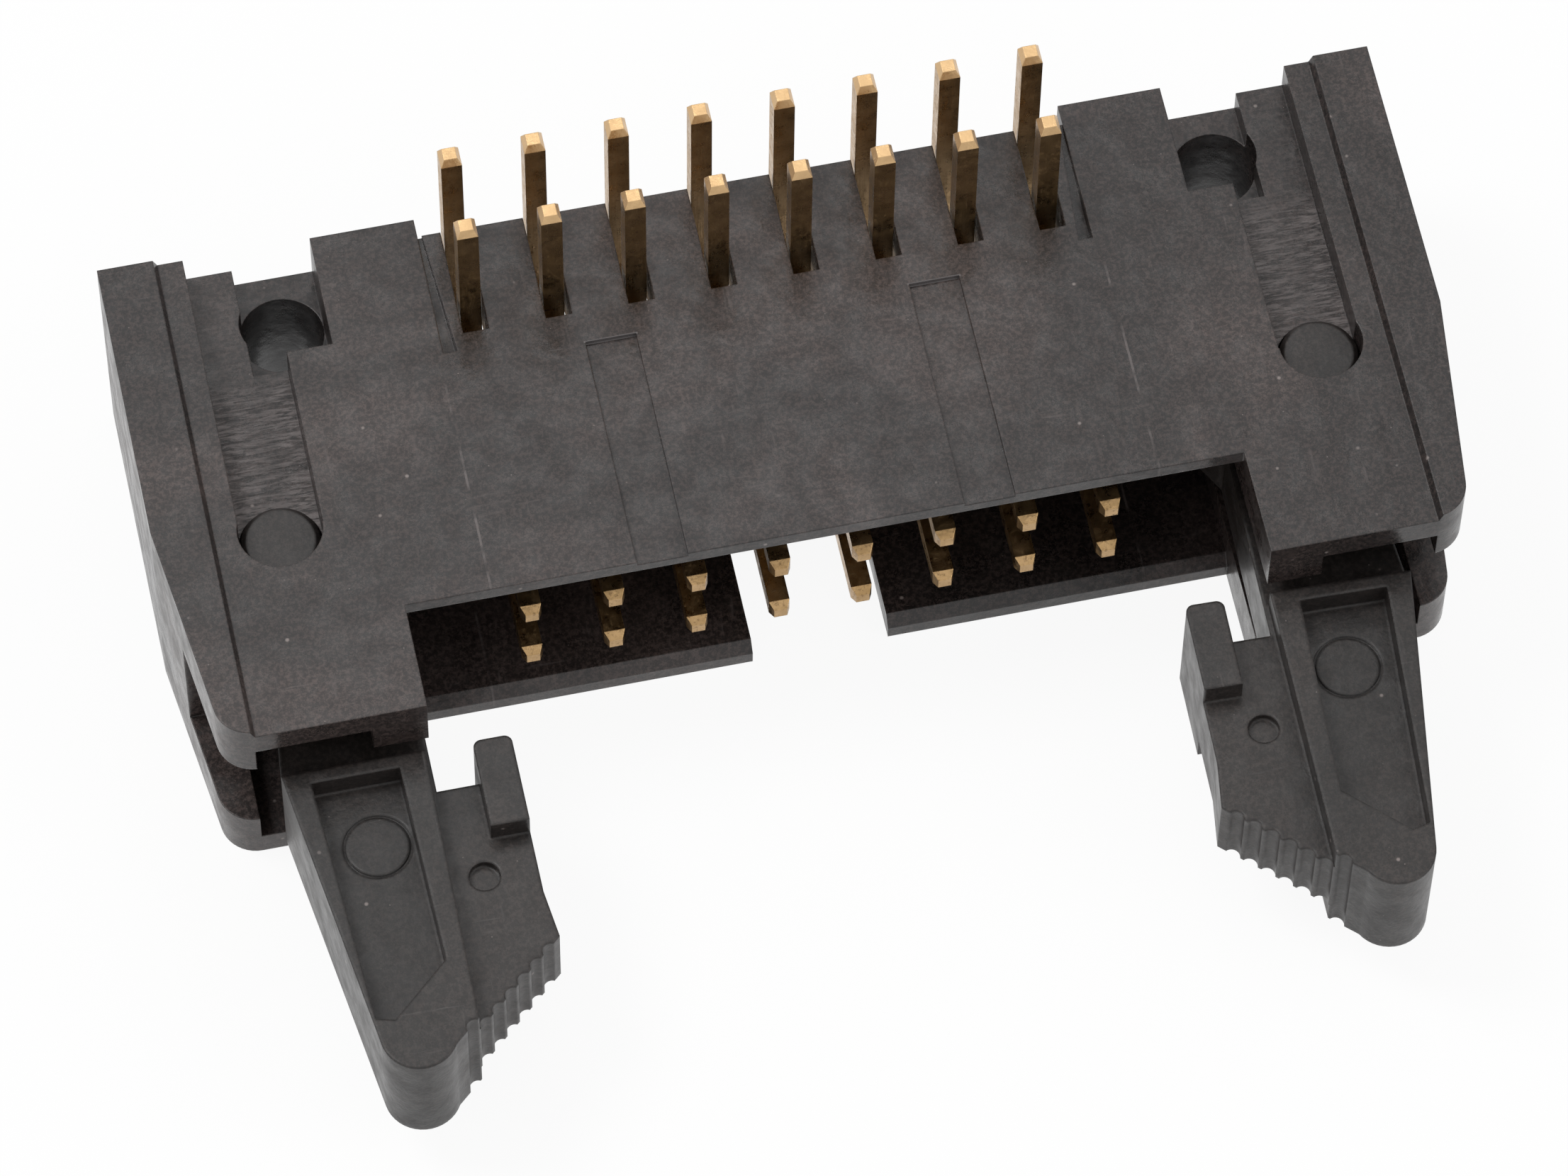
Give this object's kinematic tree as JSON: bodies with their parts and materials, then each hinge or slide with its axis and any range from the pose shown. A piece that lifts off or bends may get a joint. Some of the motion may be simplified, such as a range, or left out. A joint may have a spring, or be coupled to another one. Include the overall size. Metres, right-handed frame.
{
  "type": "right-angle latching box header",
  "caption": "Right-angle shrouded pin header for a flat-cable socket, with a centre polarizing notch, two ejector latches and through holes for board screws.",
  "frame": {"origin": "bottom centre of the bounding box with the latches as stored: middle of the length in X, middle of the box in Y, outer face of the far (top) wall in Z", "axes": "+X along the contact rows, -Y the mating direction in which the latches point, +Z towards the circuit board, along the solder tails"},
  "size_m": [0.0394, 0.027, 0.0126],
  "materials": {
    "housing_plastic": "moulded black glass-filled thermoplastic, half gloss",
    "latch_plastic": "moulded black thermoplastic, satin",
    "contact_plating": "gold flash over copper alloy"
  },
  "bodies": {
    "header": {"housing": "housing_plastic", "contact_front_1": "contact_plating", "contact_front_2": "contact_plating", "contact_front_3": "contact_plating", "contact_front_4": "contact_plating", "contact_front_5": "contact_plating", "contact_front_6": "contact_plating", "contact_front_7": "contact_plating", "contact_front_8": "contact_plating", "contact_rear_1": "contact_plating", "contact_rear_2": "contact_plating", "contact_rear_3": "contact_plating", "contact_rear_4": "contact_plating", "contact_rear_5": "contact_plating", "contact_rear_6": "contact_plating", "contact_rear_7": "contact_plating", "contact_rear_8": "contact_plating"},
    "left_latch": {"latch_left": "latch_plastic"},
    "right_latch": {"latch_right": "latch_plastic"}
  },
  "joints": [
    {"name": "left_latch_pivot", "type": "hinge", "parent": "header", "child": "left_latch", "pos_m": [-0.0159, 0.00381, 0.00417], "axis": [0, 0, -1], "range_deg": [-1.6, 27]},
    {"name": "right_latch_pivot", "type": "hinge", "parent": "header", "child": "right_latch", "pos_m": [0.0159, 0.00381, 0.00417], "axis": [0, 0, 1], "range_deg": [-0.1, 28.5]}
  ]
}
